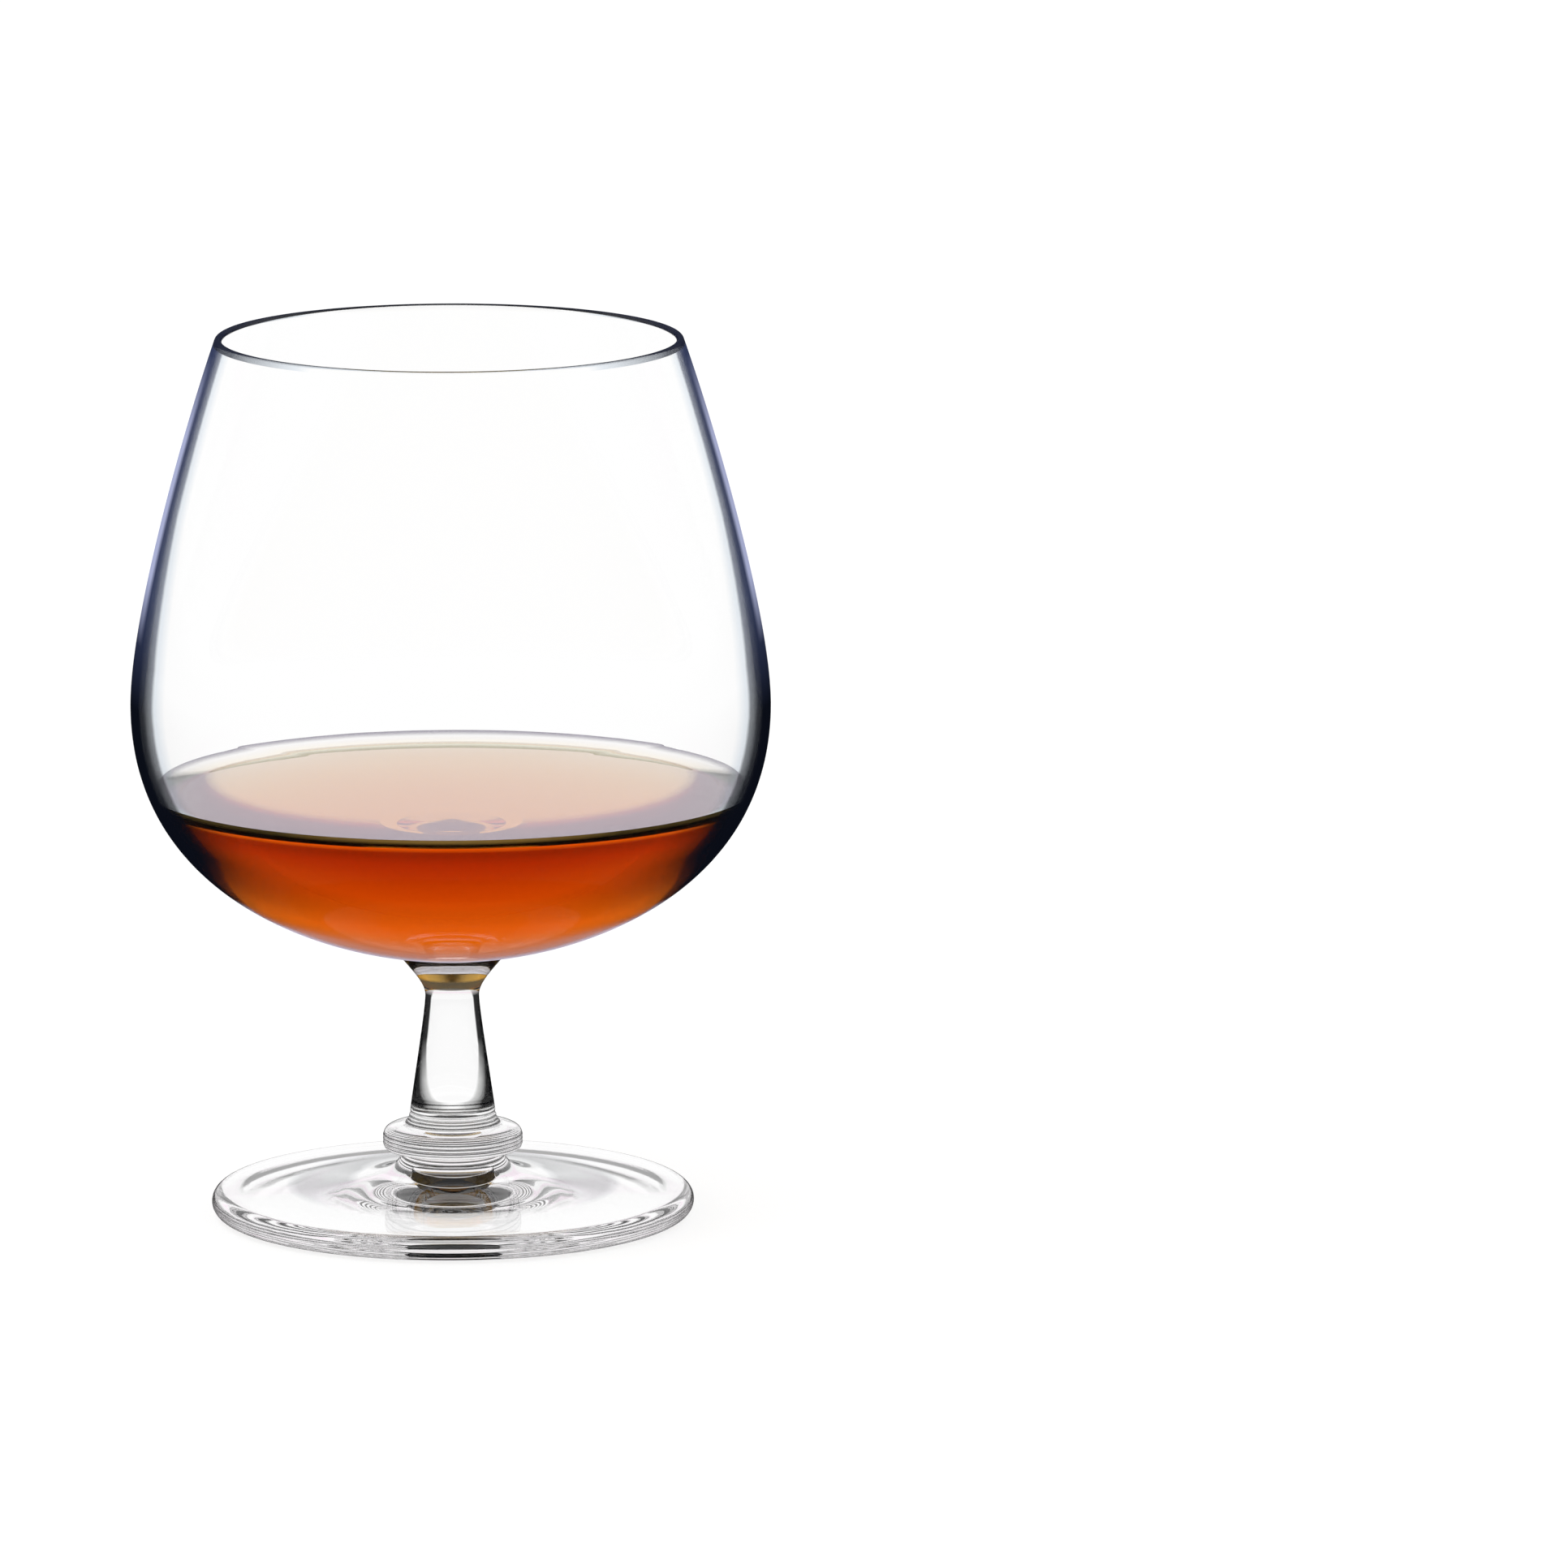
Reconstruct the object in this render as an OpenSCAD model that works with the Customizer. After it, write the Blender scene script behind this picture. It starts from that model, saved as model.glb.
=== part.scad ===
// Brandy snifter: a wide blown bowl that closes in towards the lip, on a short pressed stem with a beaded collar
// and a broad round foot, holding a measure of brandy. The axis is Z, and the foot stands on Z = 0.

/* [Bowl] */
// Height of the bowl, from the middle of its underside to the lip
bowl_h = 91.7; // [84:0.1:100]
// Outside diameter of the lip
rim_d = 68.4; // [60:0.1:76]
// Outside diameter at the widest point
belly_d = 93.6; // [86:0.1:102]
// Height of the widest point above the bowl's underside
belly_h = 37.5; // [35:0.1:42]
// How far the side leans in at the lip, in degrees
rim_lean = 19; // [12:0.5:24]
// Wall at the lip
rim_wall = 1.1; // [0.8:0.05:1.8]
// Wall at the widest point
belly_wall = 1.3; // [1:0.05:2]
// Glass at the middle of the bowl's bottom
base_wall = 3.4; // [2.4:0.1:4.4]

/* [Brandy] */
// Depth of the brandy at the middle of the bowl
brandy_depth = 20.8; // [14:0.1:26]
// Height that the brandy's edge creeps up the wall
creep_h = 1.4; // [0.6:0.1:2]
// Width of the curved edge of the brandy
creep_w = 4; // [2:0.1:6]

/* [Stem] */
// Height of the stem, from the collar to the middle of the bowl's underside
stem_h = 25.1; // [22:0.1:30]
// Diameter of the flared head that carries the bowl
head_d = 16.2; // [14:0.1:19]
// Height of the flared head, below the middle of the bowl's underside
head_drop = 5.8; // [4.5:0.1:7]
// Diameter of the narrow neck
neck_d = 7.9; // [6.5:0.1:9]
// Diameter of the stem where its base starts to flare
shank_d = 12.5; // [11:0.1:14]
// Height of the flare above the collar
flare_h = 2.1; // [1.5:0.1:3]
// Diameter of the flared base on the collar
base_d = 14.6; // [14.2:0.1:18]
// Thickness of the base at its edge
base_edge = 0.25; // [0.2:0.05:0.6]
// Number of fine rings pressed round the flare
ring_count = 4; // [2:1:5]
// Depth of the grooves that part those rings
ring_groove = 0.1; // [0.06:0.02:0.14]

/* [Collar] */
// Largest diameter of the collar
collar_d = 20.5; // [19.5:0.1:24]
// Height of the collar
collar_h = 3.6; // [3:0.1:5]
// Number of beads round the collar
bead_count = 3; // [2:1:4]
// Height of each bead
bead_h = 0.55; // [0.4:0.05:0.7]
// Depth of the grooves between the beads
groove = 0.1; // [0.08:0.02:0.3]
// Radius of the collar's rounded lower edge
collar_round = 0.6; // [0.3:0.05:0.8]

/* [Foot] */
// Diameter of the foot
foot_d = 70.9; // [62:0.1:80]
// Height of the foot's boss, where the collar sits
foot_h = 9.6; // [8:0.1:12]
// Diameter of the boss
boss_d = 15; // [13:0.1:16.5]
// Thickness of the foot at its rounded edge
edge_h = 3.7; // [3:0.1:4.4]
// Width of the rounded edge, seen from above
edge_w = 1.8; // [1:0.1:2.5]
// Slope of the foot's top at its edge, in degrees
foot_slope = 2; // [0:0.5:4]
// Height of the hollow under the foot
hollow_h = 1.2; // [0.8:0.1:2.2]
// Diameter of the punt, the deeper recess in the middle of the hollow
punt_d = 9; // [7.5:0.1:10.5]
// Height of the punt's top above the table
punt_h = 4.6; // [3.4:0.1:5.6]
// How far the punt's mouth widens and its top narrows
punt_round = 0.4; // [0.2:0.05:0.8]
// Width of the flat ring that the foot stands on
rest_w = 2; // [1.5:0.1:4]

/* [Joints] */
// Rise of the domed seats where the collar meets the stem and the foot
seat_rise = 0.4; // [0.2:0.05:0.8]

/* [Hidden] */

$fn = 128;
wall_steps = 26;
curve_steps = 12;
arc_steps = 8;

// Heights of the joints above the table
collar_z = foot_h;
stem_z = collar_z + collar_h;
bowl_z = stem_z + stem_h;

// The bowl's side is two curves that meet upright at the widest point. These shares of the height or radius that a
// curve spans say how far each end keeps its own direction.
lip_share = 0.313;
belly_up_share = 0.218;
belly_down_share = 0.784;
bottom_share = 0.336;
// How strongly the wall keeps its belly thickness before it grows towards the bottom
base_power = 3;

// The same for the curves of the stem, collar and foot
head_share = 0.42;
neck_up_share = 0.28;
neck_down_share = 0.12;
shank_share = 0.3;
flare_down_share = 0.5;
flare_out_share = 0.55;
shoulder_share = 0.6;
boss_down_share = 0.85;
foot_top_share = 0.62;
hollow_share = 0.33;
head_lean = 40;
creep_power = 3;

// A point of the curve with the four handles p, and the direction of the curve there
function curve(p, t) =
    pow(1 - t, 3) * p[0] + 3 * pow(1 - t, 2) * t * p[1] + 3 * (1 - t) * pow(t, 2) * p[2] + pow(t, 3) * p[3];
function heading(p, t) =
    pow(1 - t, 2) * (p[1] - p[0]) + 2 * (1 - t) * t * (p[2] - p[1]) + pow(t, 2) * (p[3] - p[2]);
function left_of(v) = [-v.y, v.x] / norm(v);

// Points of a curve after its first, and of an elliptic arc after its first
function along(p, steps) = [for (i = [1:steps]) curve(p, i / steps)];
function arc(centre, radii, from, to) = [
    for (i = [1:arc_steps])
        let (a = from + (to - from) * i / arc_steps)
            centre + [radii.x * cos(a), radii.y * sin(a)]
];

// A shallow dome over a seat of radius r, from its edge at height z to the axis, and how high it is at x
function dome_z(x, r, z, rise) = z + rise * (1 - pow(x / r, 2));
function dome(r, z, rise) = [
    for (i = [1:arc_steps])
        let (x = r * (1 - i / arc_steps))
            [x, dome_z(x, r, z, rise)]
];

function reversed(points) = [for (i = [len(points) - 1:-1:0]) points[i]];

// Bowl, outside and inside, from the lip to the axis
lip_r = rim_wall / 2;
lip_c = [rim_d / 2 - lip_r, bowl_z + bowl_h - lip_r];
lip_out = lip_c + lip_r * [cos(rim_lean), sin(rim_lean)];
belly_z = bowl_z + belly_h;
side_h = lip_out.y - belly_z;
side_p = [
    lip_out,
    lip_out + lip_share * side_h * [sin(rim_lean), -cos(rim_lean)],
    [belly_d / 2, belly_z + belly_up_share * side_h],
    [belly_d / 2, belly_z]
];
cup_p = [
    [belly_d / 2, belly_z],
    [belly_d / 2, belly_z - belly_down_share * belly_h],
    [bottom_share * belly_d / 2, bowl_z],
    [0, bowl_z]
];
function side_wall(t) = rim_wall + (belly_wall - rim_wall) * t;
function cup_wall(t) = belly_wall + (base_wall - belly_wall) * pow(t, base_power);
cup_out = along(cup_p, wall_steps);
bowl_out = concat([lip_out], along(side_p, wall_steps), cup_out);
bowl_in = concat(
    [for (i = [0:wall_steps]) let (t = i / wall_steps)
        curve(side_p, t) - side_wall(t) * left_of(heading(side_p, t))],
    [for (i = [1:wall_steps]) let (t = i / wall_steps)
        curve(cup_p, t) - cup_wall(t) * left_of(heading(cup_p, t))]
);

// Brandy's level and edge
level_z = bowl_z + base_wall + brandy_depth;
edge_z = level_z + creep_h;
edge_r = lookup(edge_z, [for (p = bowl_in) if (p.y < belly_z) [p.y, p.x]]);

// Where the stem's head meets the bowl
head_r = head_d / 2;
head_z = lookup(head_r, [for (p = cup_out) [p.x, p.y]]);
neck_z = bowl_z - head_drop;
flare_z = stem_z + flare_h;
shank_h = neck_z - flare_z;

// How deep the surface of the flare lies at the share t of its length: a wave with one groove for each ring
function ring_depth(t) = ring_groove * pow(sin(180 * ring_count * t), 2);

module turned(points) {
    rotate_extrude()
        polygon(points);
}

// Pressed and spun foot: rounded edge, top that sweeps up into a boss, and a hollow underside that leaves a flat
// resting ring and runs into a punt under the boss
module foot() {
    boss_r = boss_d / 2;
    foot_r = foot_d / 2;
    edge_in = foot_r - edge_w;
    rest_r = edge_in - rest_w;
    punt_r = punt_d / 2;
    mouth_r = punt_r + punt_round;
    cap_r = punt_r - punt_round;
    hollow_run = hollow_share * (rest_r - mouth_r);
    top_p = [
        [boss_r, foot_h],
        [boss_r, foot_h - boss_down_share * (foot_h - edge_h)],
        [edge_in, edge_h] + foot_top_share * (edge_in - boss_r) * [-cos(foot_slope), sin(foot_slope)],
        [edge_in, edge_h]
    ];
    hollow_p = [
        [rest_r, 0],
        [rest_r - hollow_run, hollow_h],
        [mouth_r + hollow_run, hollow_h],
        [mouth_r, hollow_h]
    ];
    punt_p = [
        [mouth_r, hollow_h],
        [punt_r, hollow_h],
        [punt_r, punt_h],
        [cap_r, punt_h]
    ];
    color([0.93, 0.95, 0.96, 0.5])
        turned(concat(
            reversed(dome(boss_r, foot_h, seat_rise)),
            [top_p[0]],
            along(top_p, curve_steps),
            arc([edge_in, edge_h / 2], [edge_w, edge_h / 2], 90, -90),
            [hollow_p[0]],
            along(hollow_p, curve_steps),
            along(punt_p, curve_steps),
            [[0, punt_h]]
        ));
}

// Collar: a ring of glass pressed with beads, with a round shoulder, a rounded lower edge and two dished seats
module collar() {
    collar_r = collar_d / 2;
    seat_r = base_d / 2;
    beads_z = collar_z + collar_round;
    beads_top = beads_z + bead_count * bead_h;
    groove_r = collar_r - groove;
    shoulder_p = [
        [seat_r, stem_z],
        [seat_r + shoulder_share * (groove_r - seat_r), stem_z],
        [groove_r, beads_top + shoulder_share * (stem_z - beads_top)],
        [groove_r, beads_top]
    ];
    color([0.93, 0.95, 0.96, 0.5])
        turned(concat(
            reversed(dome(seat_r, stem_z, -seat_rise)),
            [shoulder_p[0]],
            along(shoulder_p, curve_steps),
            [for (k = [bead_count - 1:-1:0])
                each arc([groove_r, beads_z + (k + 0.5) * bead_h], [groove, bead_h / 2], 90, -90)],
            arc([groove_r - collar_round, beads_z], [collar_round, collar_round], 0, -90),
            [[boss_d / 2, collar_z]],
            dome(boss_d / 2, collar_z, seat_rise)
        ));
}

// Stem: a flared head that fits the bowl's underside, a narrow neck, a tapered shank and a flared, ringed base
module stem() {
    neck_r = neck_d / 2;
    shank_r = shank_d / 2;
    base_r = base_d / 2;
    head_h = head_z - neck_z;
    head_p = [
        [head_r, head_z],
        [head_r, head_z] - head_share * head_h * [tan(head_lean), 1],
        [neck_r, neck_z + neck_up_share * head_h],
        [neck_r, neck_z]
    ];
    shank_p = [
        [neck_r, neck_z],
        [neck_r, neck_z - neck_down_share * shank_h],
        [shank_r, flare_z] + shank_share * [neck_r - shank_r, shank_h],
        [shank_r, flare_z]
    ];
    flare_top = stem_z + base_edge;
    flare_p = [
        [shank_r, flare_z],
        [shank_r, flare_z] - flare_down_share * (flare_z - flare_top) * [neck_r - shank_r, shank_h] / shank_h,
        [base_r - flare_out_share * (base_r - shank_r), flare_top],
        [base_r, flare_top]
    ];
    flare_steps = ring_count * arc_steps;
    color([0.93, 0.95, 0.96, 0.5])
        turned(concat(
            [for (p = reversed(cup_out)) if (p.x < head_r) p],
            [head_p[0]],
            along(head_p, curve_steps),
            along(shank_p, curve_steps),
            [for (i = [1:flare_steps]) let (t = i / flare_steps)
                curve(flare_p, t) - ring_depth(t) * left_of(heading(flare_p, t))],
            [[base_r, stem_z]],
            dome(base_r, stem_z, -seat_rise)
        ));
}

// Bowl: one blown wall, thin and rounded at the lip and thicker at the bottom
module bowl() {
    color([0.93, 0.95, 0.98, 0.3])
        turned(concat(
            reversed(bowl_out),
            arc(lip_c, [lip_r, lip_r], rim_lean, rim_lean + 180),
            [for (i = [1:len(bowl_in) - 1]) bowl_in[i]]
        ));
}

// Brandy: fills the bottom of the bowl, wall to wall, and creeps up at its edge
module brandy() {
    color([0.78, 0.29, 0.02, 0.75])
        turned(concat(
            [for (p = reversed(bowl_in)) if (p.y < edge_z && p.x < edge_r) p],
            [[edge_r, edge_z]],
            [for (i = [1:curve_steps]) let (s = i / curve_steps)
                [edge_r - creep_w * s, level_z + creep_h * pow(1 - s, creep_power)]],
            [[0, level_z]]
        ));
}

foot();
collar();
stem();
bowl();
brandy();
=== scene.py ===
from math import cos, pi, radians, sin, sqrt, tan

import bpy
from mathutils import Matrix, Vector


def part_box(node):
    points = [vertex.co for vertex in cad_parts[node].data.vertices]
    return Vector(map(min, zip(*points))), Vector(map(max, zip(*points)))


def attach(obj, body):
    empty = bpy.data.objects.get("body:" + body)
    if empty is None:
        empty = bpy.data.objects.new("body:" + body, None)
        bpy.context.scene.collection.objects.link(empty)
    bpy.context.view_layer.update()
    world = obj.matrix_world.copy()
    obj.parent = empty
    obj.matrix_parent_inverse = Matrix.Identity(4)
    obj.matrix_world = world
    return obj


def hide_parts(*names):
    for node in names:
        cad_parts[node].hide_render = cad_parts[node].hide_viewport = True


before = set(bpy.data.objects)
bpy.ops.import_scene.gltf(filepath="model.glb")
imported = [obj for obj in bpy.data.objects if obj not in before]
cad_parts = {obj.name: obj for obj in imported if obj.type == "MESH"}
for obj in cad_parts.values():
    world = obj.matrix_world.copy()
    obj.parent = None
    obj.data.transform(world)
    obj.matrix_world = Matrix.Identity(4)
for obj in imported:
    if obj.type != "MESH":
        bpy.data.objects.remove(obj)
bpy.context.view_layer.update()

scene = bpy.context.scene
MM = 0.001

# Camera. A long lens nearly two metres away looks down by about ten degrees. The middle of the picture lies
# to the right of the glass and a little below the middle of its height, so the glass stands left of centre.
lens_distance = 1926.8 * MM
lens_height = 65 * MM
look_down = radians(10.394)
picture_middle = Vector((48.72 * MM, 0, 63.66 * MM))
sensor_width = 36
lens_length = 302.2
bounces = 32

camera_data = bpy.data.cameras.new("camera")
camera_data.sensor_width = sensor_width
camera_data.lens = lens_length
camera = bpy.data.objects.new("camera", camera_data)
scene.collection.objects.link(camera)
camera.location = (0, -lens_distance * cos(look_down), lens_height + lens_distance * sin(look_down))
camera.rotation_euler = (picture_middle - camera.location).to_track_quat("-Z", "Y").to_euler()
scene.camera = camera
scene.view_settings.view_transform = "Standard"

# A ray that crosses all the glass, and is mirrored inside it, needs many bounces.
scene.cycles.max_bounces = bounces
scene.cycles.transmission_bounces = bounces
scene.cycles.glossy_bounces = bounces
scene.cycles.transparent_max_bounces = bounces


# Floor and light. A white sweep runs out to the horizon on every side, and the room over it is dark, as where
# glass is photographed: what a piece bends upwards turns dark, and what it bends level or down stays white.
floor_drop = 0.3 * MM
floor_reach = 60
floor_corners = 96
white = (1, 1, 1)
paper_grey = (0.25, 0.25, 0.25)
paper_glow = 0.8
# Painted shadow on the floor under the foot, and painted darkness near the glass, for rays from the glass.
under_foot = 50 * MM
painted_foot_shadow = 0.96
near_glass, far_off = 0.2, 1.2
near_glow, far_glow = 0.02, 0.70
rose_white = (1.0, 0.87, 0.96)
lilac_white = (0.80, 0.78, 0.85)
lilac_grey = (0.50, 0.48, 0.55)
softbox_place = Vector((-0.5, -0.3, 1.4))
softbox_aim = Vector((0, 0, 0.03))
softbox_size = 0.9
softbox_power = 4


class Wire:
    """A socket of a node tree, so that Python's operators add Math nodes, and make() adds any other node."""

    def __init__(self, tree, socket=None):
        self.tree = tree
        self.socket = socket

    def make(self, kind, settings=None, inputs=None, output=0):
        """A node with its settings and then its inputs, which are values or wires. A colour is three
        numbers."""
        made = self.tree.nodes.new("ShaderNode" + kind)
        for name, value in (settings or {}).items():
            setattr(made, name, value)
        for name, value in (inputs or {}).items():
            socket = made.inputs[name]
            if isinstance(value, Wire):
                self.tree.links.new(value.socket, socket)
            elif socket.type == "RGBA":
                socket.default_value = (*value, 1)
            else:
                socket.default_value = value
        return Wire(self.tree, made.outputs[output] if made.outputs else None)

    def maths(self, operation, first, second=0.0):
        """A Math node on one or two values or wires."""
        return self.make("Math", {"operation": operation}, {0: first, 1: second})

    def __add__(self, other):
        return self.maths("ADD", self, other)

    def __radd__(self, other):
        return self.maths("ADD", other, self)

    def __sub__(self, other):
        return self.maths("SUBTRACT", self, other)

    def __rsub__(self, other):
        return self.maths("SUBTRACT", other, self)

    def __mul__(self, other):
        return self.maths("MULTIPLY", self, other)

    def __rmul__(self, other):
        return self.maths("MULTIPLY", other, self)

    def __truediv__(self, other):
        return self.maths("DIVIDE", self, other)

    def __pow__(self, other):
        return self.maths("POWER", self, other)

    def __abs__(self):
        return self.maths("ABSOLUTE", self)

    def __gt__(self, other):
        return self.maths("GREATER_THAN", self, other)

    def __lt__(self, other):
        return self.maths("LESS_THAN", self, other)

    def __or__(self, other):
        return self.maths("MAXIMUM", self, other)

    def over(self, low, high):
        """0 at low, 1 at high, and straight between."""
        return self.make("MapRange", {"clamp": True}, {"Value": self, "From Min": low, "From Max": high})

    def within(self, rise, fall):
        """Up from 0 to 1 over the span rise, and back to 0 over the span fall."""
        return self.over(*rise) * (1 - self.over(*fall))

    def ramp(self, *stops):
        """Grey levels or colours, each with the value of this wire where it stands."""
        made = self.make("ValToRGB", inputs={0: self})
        elements = made.socket.node.color_ramp.elements
        while len(elements) < len(stops):
            elements.new(1)
        for element, (place, colour) in zip(elements, stops):
            element.position = place
            element.color = (*colour, 1) if isinstance(colour, tuple) else (colour, colour, colour, 1)
        return made

    def mix(self, first, second):
        """The colour first where this is 0, and second where it is 1."""
        return self.make("Mix", {"data_type": "RGBA"}, {"Factor": self, 6: first, 7: second}, 2)

    def ray(self, kind):
        """What the Light Path node says of the ray that finds this surface."""
        return self.make("LightPath", output=kind)


def emptied(owner):
    """A wire to the node tree of a new material or world, without the nodes it came with."""
    owner.use_nodes = True
    owner.node_tree.nodes.clear()
    return Wire(owner.node_tree)


def material(name):
    """A new material, and a wire to its tree."""
    made = bpy.data.materials.new(name)
    return made, emptied(made)


def white_sweep():
    """Lit paper. A mirrored ray finds it dark near the glass and pale further off: painted darkness in the
    glass's reflections. A ray that comes out of the glass finds it white, but a painted shadow under the foot
    once it has been mirrored inside."""
    made, wire = material("white_sweep")
    place = wire.make("TexCoord", output="Object")
    from_axis = wire.make("VectorMath", {"operation": "LENGTH"}, {0: place}, output="Value")
    own_light = wire.make("Emission", inputs={"Color": white, "Strength": paper_glow})
    paper = wire.make("BsdfDiffuse", inputs={"Color": paper_grey})
    seen = wire.make("AddShader", inputs={0: own_light, 1: paper})
    # Painted darkness near the glass for mirrored rays, and a painted shadow under the foot for rays out of
    # the glass.
    mirrored = from_axis.over(near_glass, far_off) * (far_glow - near_glow) + near_glow
    through = 1 - (wire.ray("Glossy Depth") > 0.5) * (from_axis < under_foot) * painted_foot_shadow
    for kind, strength in (("Is Glossy Ray", mirrored), ("Is Transmission Ray", through)):
        glow = wire.make("Emission", inputs={"Color": white, "Strength": strength})
        seen = wire.make("MixShader", inputs={0: wire.ray(kind), 1: seen, 2: glow})
    wire.make("OutputMaterial", inputs={"Surface": seen})
    return made


def dark_room():
    """The room for mirrored rays and for rays through glass, from the horizon, 0, to straight overhead, 1."""
    room = bpy.data.worlds.new("room")
    wire = emptied(room)
    up = wire.make("SeparateXYZ", inputs={0: wire.make("TexCoord", output="Generated")}, output="Z")
    mirrored = up.ramp((0.0, 0.7), (0.05, 1.0), (0.60, 1.0), (0.90, 0.4))
    through = up.ramp((0.0, 1.0), (0.12, 1.0), (0.15, rose_white), (0.22, rose_white), (0.25, 1.0),
                      (0.70, 1.0), (0.90, lilac_white), (0.97, lilac_grey), (1.0, 0.08))
    seen = wire.ray("Is Glossy Ray").mix(white, mirrored)
    seen = wire.ray("Is Transmission Ray").mix(seen, through)
    wire.make("OutputWorld", inputs={"Surface": wire.make("Background", inputs={"Color": seen})})
    return room


bpy.ops.object.select_all(action="DESELECT")
bpy.ops.mesh.primitive_circle_add(
    vertices=floor_corners, radius=floor_reach, fill_type="NGON", location=(0, 0, -floor_drop))
floor = bpy.context.object
floor.name = "floor"
floor.data.materials.append(white_sweep())
scene.world = dark_room()

bpy.ops.object.light_add(type="AREA", location=softbox_place)
softbox = bpy.context.object
softbox.name = "softbox"
softbox.data.shape = "DISK"
softbox.data.size = softbox_size
softbox.data.energy = softbox_power
softbox.rotation_euler = (softbox_aim - softbox_place).to_track_quat("-Z", "Y").to_euler()
softbox.visible_glossy = False
softbox.visible_transmission = False


# Foot. A disc of clear glass, pressed and spun while hot: a rounded edge, a top that sweeps up into the boss,
# and a hollow underside with a narrow punt in its middle, which leaves a flat ring to stand on. Its boss is
# fused into the collar. All sizes are in millimetres from here on.
foot_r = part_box("foot")[1][0] / MM
collar_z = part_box("collar")[0][2] / MM
boss_r = 7.5
edge_h, edge_w = 3.7, 1.8
foot_slope = radians(2)
hollow_h, rest_w = 1.2, 2
punt_r, punt_h, punt_round = 4.5, 4.6, 0.4
seat_rise = 0.4
boss_down_share = 0.85
foot_top_share = 0.62
hollow_share = 0.33
turns = 192
merge_gap = 0.002
face_gap = 0.0001
glass_ior = 1.5
wave_length, wave_height = 9, 0.02
# Painted shade: the flat dark colour that stands in for the dark room seen through glass.
painted_room_black = (0.004, 0.005, 0.008)
# Painted grey where the foot's painted shade begins.
foot_painted_grey = (0.90, 0.92, 0.95)
foot_wave = 0.03
# Heights of the grey fans painted on the foot's top beside the boss.
painted_fans_low, painted_fans_high = (4.05, 4.15), (4.8, 5.1)
# The painted shade of the seam under the collar, seen steeply from within the foot.
painted_seam_black = (0.01, 0.01, 0.01)
# How dark the punt's wall is painted, as seen from within the foot.
painted_punt_dark = 0.97


def bend(start, start_handle, end_handle, end, steps):
    """Points along a curve with two handles, after its first point. Points are (radius, height)."""
    points = []
    for i in range(1, steps + 1):
        t = i / steps
        shares = ((1 - t) ** 3, 3 * (1 - t) ** 2 * t, 3 * (1 - t) * t * t, t ** 3)
        corners = (start, start_handle, end_handle, end)
        points.append(tuple(sum(s * c[k] for s, c in zip(shares, corners)) for k in (0, 1)))
    return points


def arc(centre, radii, begin, finish, steps):
    """Points along an elliptic arc, after its first point, from one angle to another in degrees."""
    angles = [radians(begin + (finish - begin) * i / steps) for i in range(1, steps + 1)]
    return [(centre[0] + radii[0] * cos(a), centre[1] + radii[1] * sin(a)) for a in angles]


def dome(radius, height, rise, steps=12):
    """A shallow dome from its edge to the axis."""
    return [(radius * (1 - i / steps), height + rise * (1 - (1 - i / steps) ** 2)) for i in range(steps + 1)]


def turned(name, outline, crease=35):
    """A piece turned about the axis: one vertex is pulled along the outline, and the line is spun round."""
    bpy.ops.object.select_all(action="DESELECT")
    bpy.ops.mesh.primitive_plane_add(size=MM)
    piece = bpy.context.object
    piece.name = name
    bpy.ops.object.mode_set(mode="EDIT")
    bpy.ops.mesh.merge(type="CENTER")
    bpy.ops.transform.translate(value=(outline[0][0] * MM, 0, outline[0][1] * MM))
    for (x0, z0), (x1, z1) in zip(outline, outline[1:]):
        step = ((x1 - x0) * MM, 0, (z1 - z0) * MM)
        bpy.ops.mesh.extrude_vertices_move(TRANSFORM_OT_translate={"value": step})
    bpy.ops.mesh.select_all(action="SELECT")
    bpy.ops.mesh.spin(steps=turns, angle=2 * pi, center=(0, 0, 0), axis=(0, 0, 1))
    bpy.ops.mesh.select_all(action="SELECT")
    bpy.ops.mesh.remove_doubles(threshold=merge_gap * MM)
    bpy.ops.mesh.normals_make_consistent(inside=False)
    bpy.ops.object.mode_set(mode="OBJECT")
    bpy.ops.object.shade_smooth_by_angle(angle=radians(crease))
    return piece


def low_waves(wire, length, rise):
    """The normal of pressed or blown glass, whose surface has low waves."""
    place = wire.make("TexCoord", output="Object")
    waves = wire.make("TexNoise", inputs={"Vector": place, "Scale": 1 / (length * MM), "Detail": 1.0})
    heights = {"Height": waves, "Distance": rise * MM, "Strength": 1.0}
    return wire.make("Bump", inputs=heights, output="Normal")


def clear_shader(wire, colour, normal, ior=glass_ior, sheen=1.0):
    """Smooth glass that bends light, tints it, and mirrors as much of it as sheen says."""
    return wire.make("BsdfPrincipled", inputs={
        "Base Color": colour, "Roughness": 0.0, "IOR": ior, "Transmission Weight": 1.0,
        "Specular Tint": (sheen, sheen, sheen), "Normal": normal})


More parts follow.
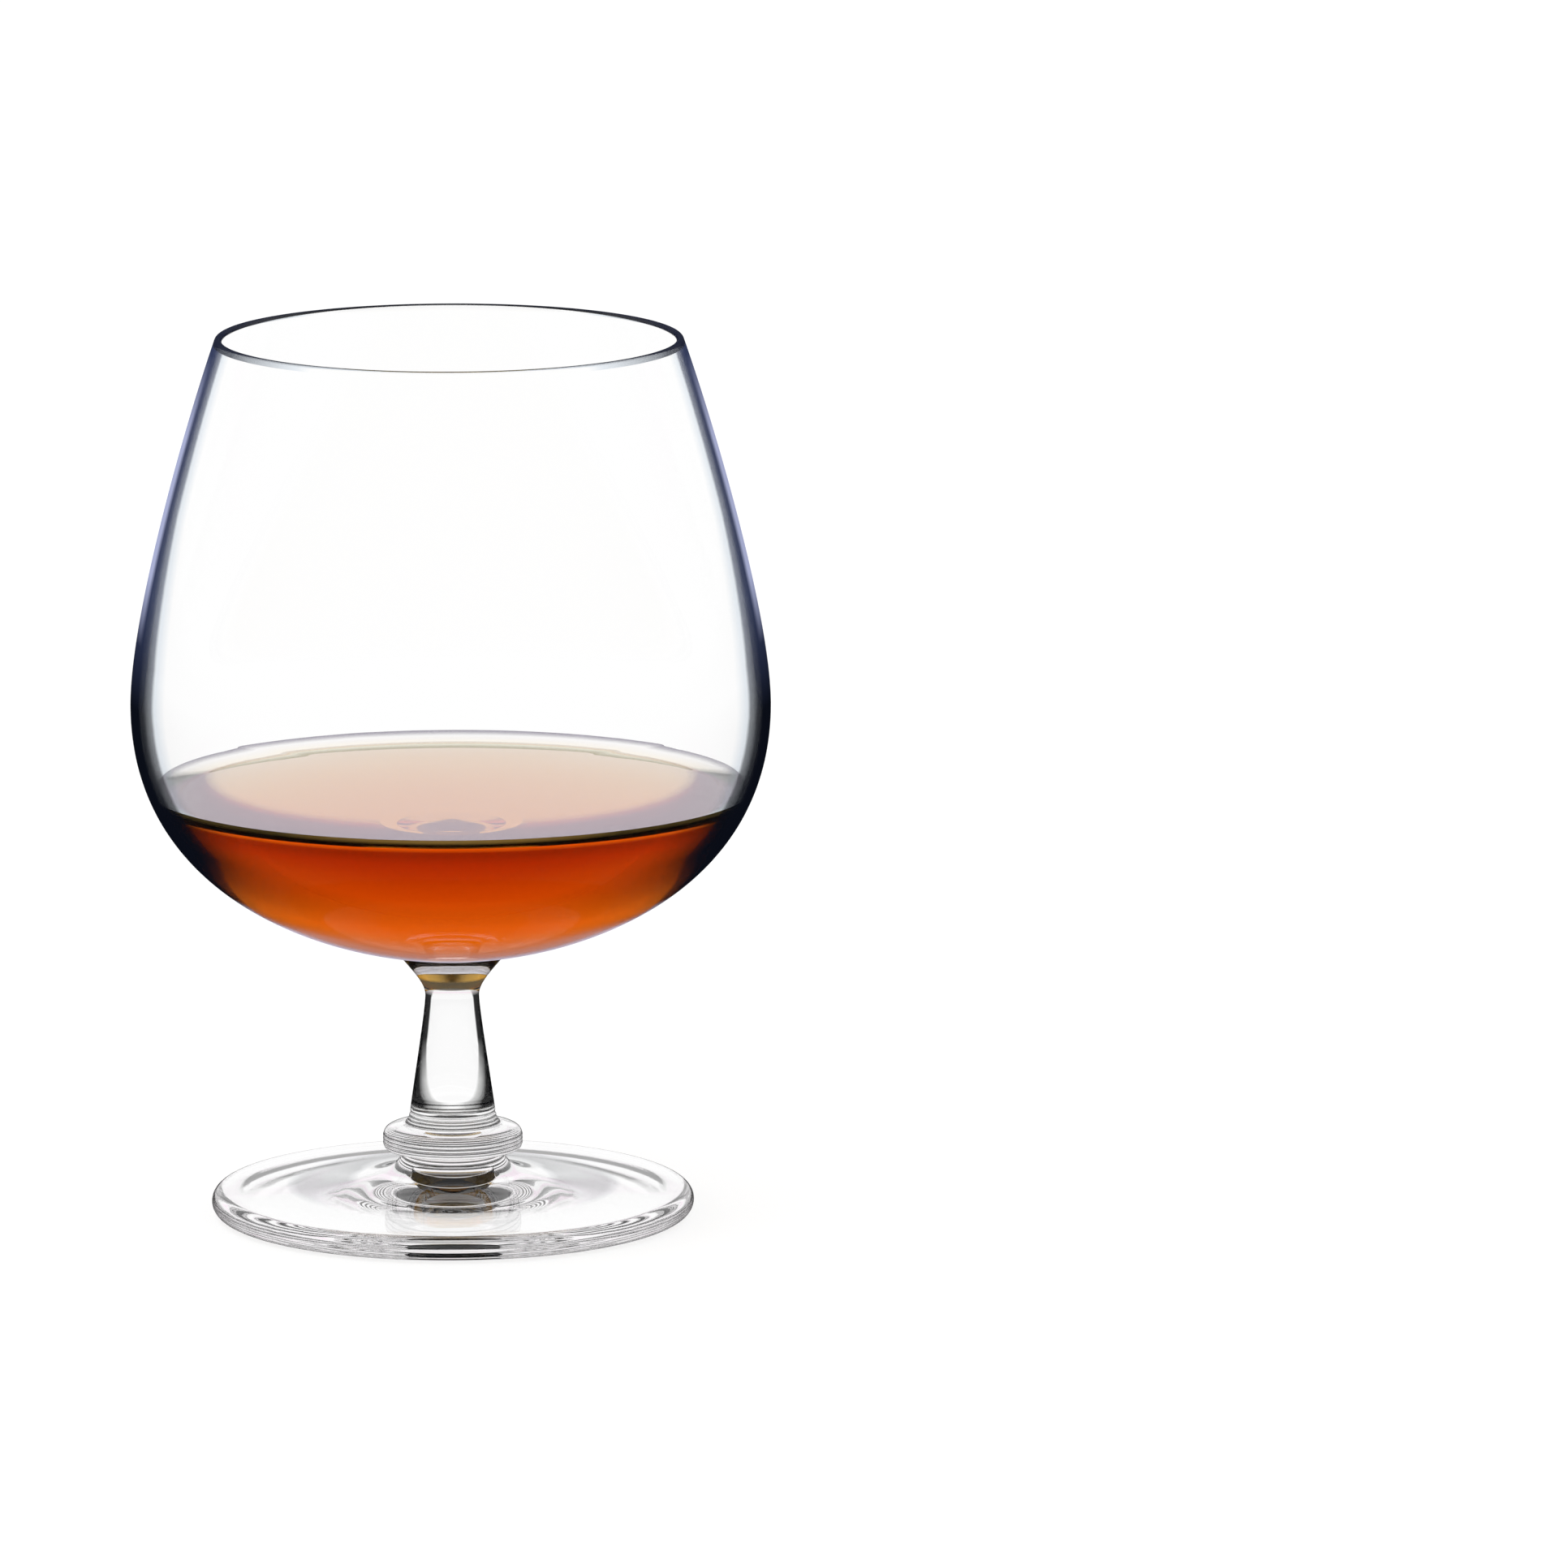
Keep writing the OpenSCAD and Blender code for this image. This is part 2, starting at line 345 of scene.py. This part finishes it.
def painted_shade_glass(name, shade, tint=None, dark=painted_room_black, ior=glass_ior, sheen=1.0,
                 length=wave_length, rise=wave_height):
    """Clear glass, mixed with painted shade where shade(slant, height, inside) is 1: a flat dark colour in
    place of the dark room that a ray finds where it leaves far from where it was heading. Slant is 0 where a
    face is seen straight on and 1 at its outline, and inside is 1 for a ray within the glass. Tint is the
    painted colour that glass takes where the painted shade begins, or a function of the height and of inside,
    and dark a colour or a function of the height and of the slant. Its waves have a length and a rise."""
    made, wire = material(name)
    normal = low_waves(wire, length, rise)
    slant = wire.make("LayerWeight", inputs={"Blend": 0.5, "Normal": normal}, output="Facing")
    height = wire.make("SeparateXYZ", inputs={0: wire.make("TexCoord", output="Object")}, output="Z") / MM
    inside = wire.make("NewGeometry", output="Backfacing")
    painted_shade_mask = shade(slant, height, inside)
    if tint is None:
        colour = white
    elif callable(tint):
        colour = tint(height, inside)
    else:
        colour = painted_shade_mask.ramp((0.0, 1.0), (0.10, tint))
    clear = clear_shader(wire, colour, normal, ior, sheen)
    painted_room_colour = dark(height, slant) if callable(dark) else dark
    # The painted shade: a flat, rough dark colour in place of the dark room seen through the glass.
    room = wire.make("BsdfPrincipled", inputs={
        "Base Color": painted_room_colour, "Roughness": 1.0, "Specular IOR Level": 0.0})
    surface = wire.make("MixShader", inputs={0: painted_shade_mask, 1: clear, 2: room})
    wire.make("OutputMaterial", inputs={"Surface": surface})
    return made


def fused_joint():
    """Where two pieces were fused, glass runs on into glass, and nothing shows."""
    made, wire = material("fused_joint")
    gone = wire.make("BsdfPrincipled", inputs={"Alpha": 0.0, "Roughness": 0.0})
    wire.make("OutputMaterial", inputs={"Surface": gone})
    return made


def foot_seam_painted_shade():
    """Painted shade on the seam under the collar: clear, but a flat dark when seen steeply from below, from
    within the foot.
    """
    made, wire = material("foot_seam_painted_shade")
    slant = wire.make("LayerWeight", inputs={"Blend": 0.5}, output="Facing")
    from_below = wire.make("NewGeometry", output="Backfacing")
    seam = wire.make("BsdfPrincipled", inputs={
        "Base Color": painted_seam_black, "Roughness": 1.0, "Specular IOR Level": 0.0,
        "Alpha": slant.ramp((0.35, 0.9), (0.6, 0.0)) * from_below})
    wire.make("OutputMaterial", inputs={"Surface": seam})
    return made


def foot_shade(slant, height, inside):
    """Painted shade: a thin dark outline, and soft grey fans painted beside the boss, where the top slopes as
    steeply as it takes to show the dark room."""
    outline = slant.ramp((0.93, 0.0), (0.985, 0.6))
    # Grey fans painted by slant, in place of the dark room bent in by the sloping top.
    fans = slant.ramp((0.75, 0.0), (0.78, 0.3), (0.82, 0.22), (0.86, 0.34), (0.89, 0.0))
    return (outline | fans * height.within(painted_fans_low, painted_fans_high)) * (1 - inside)


def punt_shade(slant, height, inside):
    """Painted shade: from within the foot, the punt's wall is painted as a dark well."""
    return inside * painted_punt_dark


def give(piece, *finishes):
    """The piece's finishes, one slot each."""
    for finish in finishes:
        piece.data.materials.append(finish)


def lay(piece, number, chosen):
    """Lays the finish of a slot on the faces that chosen(radius, height, outward, upward) picks: where the
    middle of the face is, and how far the face looks away from the axis and up."""
    for face in piece.data.polygons:
        x, y, z = face.center / MM
        radius = sqrt(x ** 2 + y ** 2)
        outward = (face.normal.x * x + face.normal.y * y) / radius
        if chosen(radius, z, outward, face.normal.z):
            face.material_index = number


edge_in = foot_r - edge_w
top_reach = foot_top_share * (edge_in - boss_r)
rest_r = edge_in - rest_w
mouth_r = punt_r + punt_round
hollow_run = hollow_share * (rest_r - mouth_r)
foot = turned("foot_disc", (
    dome(boss_r, collar_z, seat_rise)[::-1]
    + bend((boss_r, collar_z), (boss_r, collar_z - boss_down_share * (collar_z - edge_h)),
           (edge_in - top_reach * cos(foot_slope), edge_h + top_reach * sin(foot_slope)), (edge_in, edge_h),
           steps=60)
    + arc((edge_in, edge_h / 2), (edge_w, edge_h / 2), 90, -90, steps=28)
    + [(rest_r, 0)]
    + bend((rest_r, 0), (rest_r - hollow_run, hollow_h),
           (mouth_r + hollow_run, hollow_h), (mouth_r, hollow_h), steps=40)
    + bend((mouth_r, hollow_h), (punt_r, hollow_h), (punt_r, punt_h), (punt_r - punt_round, punt_h), steps=30)
    + [(0, punt_h)]
))
foot_glass = painted_shade_glass("foot_glass", foot_shade, tint=foot_painted_grey, rise=foot_wave)
punt_glass = painted_shade_glass("punt_glass", punt_shade)
punt_foot, punt_top = hollow_h + 0.1, punt_h - 0.15
give(foot, foot_glass, foot_seam_painted_shade(), punt_glass)
lay(foot, 1, lambda radius, height, outward, upward: height > collar_z - face_gap)
lay(foot, 2, lambda radius, height, outward, upward: radius < mouth_r and punt_foot < height < punt_top)
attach(foot, "root")
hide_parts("foot")


# Collar. A ring of clear glass pressed with three fine beads under a round shoulder, and fused between the
# foot and the stem. The foot's boss and the stem's base sit in its two dished faces.
collar_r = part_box("collar")[1][0] / MM
stem_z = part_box("collar")[1][2] / MM
base_r = 7.3
beads, bead_h, groove = 3, 0.55, 0.1
collar_round = 0.6
shoulder_share = 0.6
# Width and darkness of the dark line painted in each groove; painted grey where the collar's shade begins.
groove_line, painted_groove_dark = 0.22, 0.75
collar_painted_grey = (0.9, 0.9, 0.9)
groove_r = collar_r - groove
beads_z = collar_z + collar_round
beads_top = beads_z + beads * bead_h


def line_at(height, level, width):
    """1 on a level, over a third of the width, and 0 from half the width above and below it."""
    return abs(height - level).over(width / 2, width / 6)


def collar_shade(slant, height, inside):
    """Painted shade: a dark outline, and a fine dark line painted in each groove beside a bead."""
    painted_shade_mask = slant.ramp((0.80, 0.0), (0.97, 0.9))
    for bead in range(beads + 1):
        painted_shade_mask = painted_shade_mask | line_at(height, beads_z + bead * bead_h, groove_line) * painted_groove_dark
    return painted_shade_mask * (1 - inside)


beaded_edge = []
for bead in reversed(range(beads)):
    beaded_edge += arc((groove_r, beads_z + (bead + 0.5) * bead_h), (groove, bead_h / 2), 90, -90, steps=10)
collar = turned("beaded_collar", (
    dome(base_r, stem_z, -seat_rise)[::-1]
    + bend((base_r, stem_z), (base_r + shoulder_share * (groove_r - base_r), stem_z),
           (groove_r, beads_top + shoulder_share * (stem_z - beads_top)), (groove_r, beads_top), steps=24)
    + beaded_edge
    + arc((groove_r - collar_round, beads_z), (collar_round, collar_round), 0, -90, steps=12)
    + dome(boss_r, collar_z, seat_rise)
))
fused = fused_joint()
give(collar, painted_shade_glass("collar_glass", collar_shade, tint=collar_painted_grey), fused)
lay(collar, 1, lambda radius, height, outward, upward: radius < (base_r if upward > 0 else boss_r))
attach(collar, "root")
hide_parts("collar")


# Stem. A solid pressed stem of clear glass: a flared head that takes the bowl's underside, a narrow neck, a
# shank that widens downwards, and a small flared base with shallow rings, fused to the collar.
bowl_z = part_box("bowl")[0][2] / MM
belly_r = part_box("bowl")[1][0] / MM
belly_h = 37.5
belly_z = bowl_z + belly_h
belly_down_share = 0.784
bottom_share = 0.336
head_r, neck_r, shank_r = 8.1, 3.95, 6.25
head_drop, flare_h, base_edge = 5.8, 2.1, 0.25
head_lean = radians(40)
rings, ring_groove, ring_steps = 4, 0.1, 12
head_share = 0.42
neck_up_share = 0.28
neck_down_share = 0.12
shank_share = 0.3
flare_down_share = 0.5
flare_out_share = 0.55
cup_steps = 80
stem_wave = 3
# Painted grey where the stem's shade begins; the painted black of the shank; painted olive of the brandy.
stem_painted_grey = (0.90, 0.91, 0.90)
painted_shank_black = (0.003, 0.003, 0.004)
olive = (0.085, 0.078, 0.062)


def crossing(points, axis, value):
    """The point of a line where its radius (axis 0) or height (axis 1) has a value."""
    for a, b in zip(points, points[1:]):
        if (a[axis] - value) * (b[axis] - value) <= 0 and a[axis] != b[axis]:
            share = (value - a[axis]) / (b[axis] - a[axis])
            return tuple(p + share * (q - p) for p, q in zip(a, b))


def ringed(line):
    """The line with a wave in it at right angles to it, one groove for each ring."""
    points = []
    for i, ((x0, z0), (x1, z1)) in enumerate(zip(line, line[1:]), 1):
        depth = ring_groove * sin(pi * i / ring_steps) ** 2 / sqrt((x1 - x0) ** 2 + (z1 - z0) ** 2)
        points.append((x1 + depth * (z1 - z0), z1 - depth * (x1 - x0)))
    return points


cup = ((belly_r, belly_z), (belly_r, belly_z - belly_down_share * belly_h), (bottom_share * belly_r, bowl_z),
       (0, bowl_z))
cup_points = bend(*cup, steps=cup_steps)
seat = [point for point in reversed(cup_points) if point[0] < head_r]
head_z = crossing(cup_points, 0, head_r)[1]
neck_z = bowl_z - head_drop
flare_z = stem_z + flare_h
flare_top = stem_z + base_edge
head_h = head_z - neck_z
shank_h = neck_z - flare_z
flare_run = flare_down_share * (flare_z - flare_top)
plain_flare = [(shank_r, flare_z)] + bend(
    (shank_r, flare_z), (shank_r + flare_run * (shank_r - neck_r) / shank_h, flare_z - flare_run),
    (base_r - flare_out_share * (base_r - shank_r), flare_top), (base_r, flare_top), steps=rings * ring_steps)
stem = turned("stem_shank", (
    seat + [(head_r, head_z)]
    + bend((head_r, head_z), (head_r - head_share * head_h * tan(head_lean), head_z - head_share * head_h),
           (neck_r, neck_z + neck_up_share * head_h), (neck_r, neck_z), steps=40)
    + bend((neck_r, neck_z), (neck_r, neck_z - neck_down_share * shank_h),
           (shank_r + shank_share * (neck_r - shank_r), flare_z + shank_share * shank_h), (shank_r, flare_z),
           steps=40)
    + ringed(plain_flare)
    + dome(base_r, stem_z, -seat_rise)
))

# Painted shade, and a painted reflection of the brandy, on the stem from the flare up: each span is where a
# painted tone begins or ends.
pale_end, pale_full = stem_z + 4.3, stem_z + 12.3
fade_low, fade_high = pale_end + 3, pale_full + 1
shank_low, shank_high = (flare_z + 0.6, flare_z + 1.2), (neck_z + 0.3, neck_z + 1.5)
olive_low = (neck_z + 1.2, neck_z + 1.4)
neck_ring_low, neck_ring_high = (neck_z + 1.3, neck_z + 1.5), (neck_z + 2.6, neck_z + 3.0)
ring_levels = [flare_z + 0.5] + [plain_flare[ring * ring_steps][1] for ring in range(rings)]
ring_line = 0.3
pale_width, pale_roundness = 0.36, 0.45
# How dark each painted shade on the stem is.
fade_most, neck_ring_dark, head_outline_dark, ring_dark, stem_darkest = 0.75, 0.9, 0.8, 0.8, 0.97


def stem_shade(slant, height, inside):
    """Painted shade: dark sides beside a pale middle, whose lower end is round, and clear flares above and
    below them. Low down, the painted dark fades towards the middle. A painted dark ring lies in the neck, and
    fine painted ones lie round the flare."""
    beside = slant - height.over(pale_end, pale_full) ** pale_roundness * pale_width
    fade = (1 - height.over(fade_low, fade_high)) * (1 - beside.over(0.02, 0.30)) * fade_most
    sides = beside.over(0.0, 0.05) * height.within(shank_low, shank_high) * (1 - fade)
    painted_neck_ring = height.within(neck_ring_low, neck_ring_high) * neck_ring_dark
    painted_head_outline = height.over(*neck_ring_low) * slant.over(0.80, 0.92) * head_outline_dark
    painted_shade_mask = sides | painted_neck_ring | painted_head_outline
    for level in ring_levels:
        painted_shade_mask = painted_shade_mask | line_at(height, level, ring_line) * slant.ramp((0.1, 0.55), (0.7, 1.0)) * ring_dark
    return painted_shade_mask * (1 - inside) * stem_darkest


def stem_dark(height, slant):
    """Painted shade: black in the shank, and a painted olive reflection of the brandy in the neck."""
    return height.over(*olive_low).mix(painted_shank_black, olive)


stem_glass = painted_shade_glass("stem_glass", stem_shade, tint=stem_painted_grey, dark=stem_dark, length=stem_wave)
seat_low = 0.9 * head_z
give(stem, stem_glass, fused)
lay(stem, 1, lambda radius, height, outward, upward: height < stem_z)
lay(stem, 1, lambda radius, height, outward, upward: upward > 0 and height > seat_low and radius < head_r)
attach(stem, "root")
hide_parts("stem")


# Bowl. One blown wall of clear glass, about a millimetre thick at the fire-polished lip and three at the
# bottom, where it is fused to the stem's head. The brandy wets the inside of the cup.
lip_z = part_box("bowl")[1][2] / MM
rim_lean = 19
rim_r = 34.2
rim_wall, belly_wall, base_wall = 1.1, 1.3, 3.4
base_power = 3
lip_share = 0.313
belly_up_share = 0.218
side_steps = 90
brandy_depth = 20.8
creep_h, creep_w = 1.4, 4
brandy_ior = 1.36
blown_wave = 0.008
bowl_sheen = 0.1
# Painted blue glow where the bowl's painted shade begins, and the painted colours of its bands and lip.
bowl_painted_blue = (0.80, 0.90, 1.0)
painted_lip_black = (0.007, 0.010, 0.028)
painted_belly_black = (0.003, 0.004, 0.008)
painted_pale_lilac = (0.70, 0.67, 0.85)
lilac = (0.36, 0.39, 0.58)
slate = (0.03, 0.04, 0.09)
painted_pale_slate = (0.035, 0.045, 0.10)
# Painted shade of the wet wall, and the painted golden highlight, olive at the sides, where the brandy meets
# it.
painted_wet_black = (0.012, 0.003, 0.0)
painted_line_gold = (0.62, 0.37, 0.09)
painted_line_olive = (0.10, 0.07, 0.02)


def inner(line, steps, wall):
    """The inside of a curved wall: each point of the curve, moved in by the wall there."""
    points = [line[0]] + bend(*line, steps)
    spans = [[steps * (b - a) for a, b in zip(p, q)] for p, q in zip(points, points[1:])]
    moved = []
    for i, (x, z) in enumerate(points):
        before, after = spans[max(i - 1, 0)], spans[min(i, steps - 1)]
        dx, dz = before[0] + after[0], before[1] + after[1]
        length = sqrt(dx * dx + dz * dz)
        thickness = wall(i / steps)
        moved.append((x + thickness * dz / length, z - thickness * dx / length))
    return moved


def side_wall(share):
    """The wall from the lip, 0, to the belly, 1."""
    return rim_wall + (belly_wall - rim_wall) * share


def cup_wall(share):
    """The wall from the belly, 0, to the bottom, 1."""
    return belly_wall + (base_wall - belly_wall) * share ** base_power


lean = radians(rim_lean)
lip_r = rim_wall / 2
lip_middle = (rim_r - lip_r, lip_z - lip_r)
lip_outside = (lip_middle[0] + lip_r * cos(lean), lip_middle[1] + lip_r * sin(lean))
side_h = lip_outside[1] - belly_z
lip_run = lip_share * side_h
side = (lip_outside, (lip_outside[0] + lip_run * sin(lean), lip_outside[1] - lip_run * cos(lean)),
        (belly_r, belly_z + belly_up_share * side_h), (belly_r, belly_z))
side_in = inner(side, side_steps, side_wall)
cup_in = inner(cup, cup_steps, cup_wall)
cup_in[-1] = (0, cup_in[-1][1])
brandy_level = bowl_z + base_wall + brandy_depth
wet_edge = crossing(cup_in, 1, brandy_level + creep_h)
dry_cup = [point for point in cup_in[1:] if point[1] > wet_edge[1]]
wet_cup = [point for point in cup_in if point[1] < wet_edge[1]]
bowl = turned("blown_bowl", (
    seat + [(head_r, head_z)] + [point for point in reversed(cup_points) if point[0] > head_r]
    + bend(*side, steps=side_steps)[::-1] + [lip_outside]
    + arc(lip_middle, (lip_r, lip_r), rim_lean, rim_lean + 180, steps=14)
    + side_in[1:] + dry_cup + [wet_edge] + wet_cup
))

# Heights between which the looks of the wall change, from the bottom up.
turn_in = (bowl_z + 7.0, bowl_z + 9.5)
wide_band, widening = (bowl_z + 8, bowl_z + 19), 0.32
wet_sides = (bowl_z + 11, bowl_z + 19)
tint_top = bowl_z + 28
# Heights of the painted dark line, and of its painted golden highlight, where the brandy meets the wall.
line_low, painted_line_dark = (brandy_level + 0.5, brandy_level + 0.7), 0.9
painted_line_bright = (brandy_level + 0.6, brandy_level + 1.1)
narrow_band, narrowing = (belly_z + 8, belly_z + 30), 0.055
outline_low, outline_high = (belly_z + 10, belly_z + 20), (lip_z - 2, lip_z - 14)


def bowl_shade(slant, height, inside):
    """Painted shade: a dark band at the sides, and a painted pale edge where the cup turns in under the
    brandy.
    """
    narrower = height.over(*narrow_band) * narrowing
    wider = widening - height.over(*wide_band) * widening
    band = (slant - narrower - wider).ramp(
        (0.55, 0.0), (0.625, 0.12), (0.648, 0.72), (0.684, 0.84), (0.715, 0.96), (0.78, 1.0))
    pale = slant.ramp((0.68, 0.0), (0.78, 0.07), (0.87, 0.22), (0.94, 0.65), (1.0, 0.95))
    return (pale + (band - pale) * height.over(*turn_in)) * (1 - inside)


def bowl_dark(height, slant):
    """The colours of that painted shade: painted lilac light below the brandy, black at the belly, and slate
    towards the lip, where the painted outline is lilac too."""
    band = height.over(bowl_z, lip_z).ramp(
        (0.075, painted_pale_lilac), (0.12, painted_belly_black), (0.42, painted_belly_black), (0.60, slate), (0.9, painted_pale_slate))
    outline = slant.over(0.80, 0.86) * height.over(*outline_low) * height.over(*outline_high)
    return outline.mix(band, lilac)


def lip_shade(slant, height, inside):
    """Painted shade on the lip's round edge, which bends light the most."""
    return slant.ramp((0.20, 0.0), (0.60, 0.85), (0.80, 0.97)) * (1 - inside)


def wet_shade(slant, height, inside):
    """Painted shade. Seen from the brandy, the wall is painted dark where it would mirror. Seen from within
    the glass, its sides are painted dark, and so is the line where the brandy meets it."""
    sides = slant.ramp((0.18, 0.0), (0.25, 0.95)) * height.over(*wet_sides)
    mirror = slant.ramp((0.30, 0.0), (0.38, 0.93))
    line = height.over(*line_low) * painted_line_dark
    return (sides | line) * inside + mirror * (1 - inside)


def wet_dark(height, slant):
    """Painted shade, nearly black, but the line where the brandy meets the wall has a painted golden
    highlight, olive towards the sides.
    """
    line = slant.over(0.02, 0.13).mix(painted_line_gold, painted_line_olive)
    return height.over(*painted_line_bright).mix(painted_wet_black, line)


def wet_painted_tint(height, inside):
    """Painted light and shade by height, for light that goes from the wall into the brandy: clear at the
    bottom of the cup, through amber, to a painted dark brown shade near the top, where the light comes in low
    over the floor.
    The edge that creeps up the wall has a painted golden highlight."""
    painted_amber = height.over(bowl_z, tint_top).ramp(
        (0.0, (1.0, 1.0, 0.9)), (0.24, (1.0, 1.0, 0.3)), (0.36, (1.0, 0.62, 0.02)), (0.46, (0.80, 0.45, 0.0)),
        (0.58, (0.52, 0.18, 0.0)), (0.68, (0.36, 0.09, 0.0)), (0.78, (0.24, 0.035, 0.0)),
        (0.825, (0.13, 0.017, 0.0)), (0.845, (0.13, 0.017, 0.0)), (0.87, (0.9, 0.7, 0.3)))
    return inside.mix(white, painted_amber)


def inner_glass():
    """The dry inside of the bowl, which shows none of the dark room itself."""
    made, wire = material("inner_glass")
    clear = clear_shader(wire, white, low_waves(wire, wave_length, blown_wave), sheen=bowl_sheen)
    wire.make("OutputMaterial", inputs={"Surface": clear})
    return made


bowl_glass = painted_shade_glass(
    "bowl_glass", bowl_shade, tint=bowl_painted_blue, dark=bowl_dark, sheen=bowl_sheen, rise=blown_wave)
wet_glass = painted_shade_glass(
    "wet_glass", wet_shade, tint=wet_painted_tint, dark=wet_dark, ior=glass_ior / brandy_ior, rise=blown_wave)
lip_glass = painted_shade_glass("lip_glass", lip_shade, tint=bowl_painted_blue, dark=painted_lip_black)
seat_high = 0.999 * head_z
dry_low, wet_low = wet_edge[1], cup_in[-1][1] - 0.01
lip_low = lip_z - 1.2 * lip_r
give(bowl, bowl_glass, fused, inner_glass(), wet_glass, lip_glass)
lay(bowl, 1, lambda radius, height, outward, upward: upward < 0 and height < seat_high)
lay(bowl, 2, lambda radius, height, outward, upward: outward < 0 and height > dry_low)
lay(bowl, 3, lambda radius, height, outward, upward: max(upward, -outward) > 0 and wet_low < height < dry_low)
lay(bowl, 4, lambda radius, height, outward, upward: height > lip_low)
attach(bowl, "root")
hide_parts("bowl")


# Brandy. It fills the cup wall to wall and creeps up at its edge. Clear amber: the further light goes in it,
# the less blue and then green is left. It reaches a little way into the wall, so that no film of air is left
# between.
soak = 0.05
creep_power = 3
creep_steps, level_steps = 24, 12
open_slack = 0.02
skin_reach = 2.0
coat_weight, coat_ior = 0.6, 1.5
soaked_up = (2.5, 26, 80)
density = 150
# Painted light and shade on the brandy's open top, from its edge inwards.
painted_skin_dark = (0.10, 0.09, 0.13)
painted_skin_grey = (0.30, 0.28, 0.34)
painted_skin_white = (0.95, 0.95, 1.0)
painted_skin_warm = (0.95, 0.92, 0.90)
painted_skin_brown = (0.38, 0.22, 0.06)
painted_skin_straw = (0.40, 0.42, 0.25)


def brandy_finish():
    """Only the open top has a surface, because the wet wall of the bowl bends the light everywhere else. From
    its edge inwards the top has painted light and shade: dark, white where it creeps up the wall, brown, and
    then the colour of straw."""
    made, wire = material("brandy")
    place = wire.make("TexCoord", output="Object")
    level_place = wire.make("VectorMath", {"operation": "MULTIPLY"}, {0: place, 1: (1, 1, 0)})
    radius = wire.make("VectorMath", {"operation": "LENGTH"}, {0: level_place}, output="Value")
    height = wire.make("SeparateXYZ", inputs={0: place}, output="Z")
    at_level = crossing(cup_in, 1, brandy_level)
    wall_slope = (wet_edge[0] - at_level[0]) / (wet_edge[1] - at_level[1])
    at_edge = radius + (wet_edge[1] * MM - height) * wall_slope
    open_top = (at_edge < (wet_edge[0] + open_slack) * MM) * (height > (brandy_level - open_slack) * MM)
    creep = ((wet_edge[0] * MM - radius) / (creep_w * MM)).over(0.0, skin_reach)
    painted_skin = creep.ramp((0.0, painted_skin_dark), (0.04, painted_skin_grey), (0.10, painted_skin_white), (0.30, painted_skin_warm),
                      (0.42, painted_skin_brown), (0.55, painted_skin_straw))
    surface = wire.make("BsdfPrincipled", inputs={
        "Base Color": painted_skin, "Roughness": 0.0, "IOR": brandy_ior, "Transmission Weight": 1.0,
        "Alpha": open_top, "Coat Weight": coat_weight, "Coat Roughness": 0.0, "Coat IOR": coat_ior})
    amber = tuple(1 - per_metre / density for per_metre in soaked_up)
    soaking = wire.make("VolumeAbsorption", inputs={"Color": amber, "Density": density})
    wire.make("OutputMaterial", inputs={"Surface": surface, "Volume": soaking})
    return made


level_r = wet_edge[0] - creep_w
brandy = turned("brandy_measure", (
    [(x + soak if x else 0, z - soak) for x, z in reversed(wet_cup)]
    + [(wet_edge[0] + soak, wet_edge[1] - soak), wet_edge]
    + [(wet_edge[0] - creep_w * i / creep_steps,
        brandy_level + creep_h * (1 - i / creep_steps) ** creep_power) for i in range(1, creep_steps + 1)]
    + [(level_r * (1 - i / level_steps), brandy_level) for i in range(1, level_steps + 1)]
))
give(brandy, brandy_finish())
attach(brandy, "root")
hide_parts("brandy")
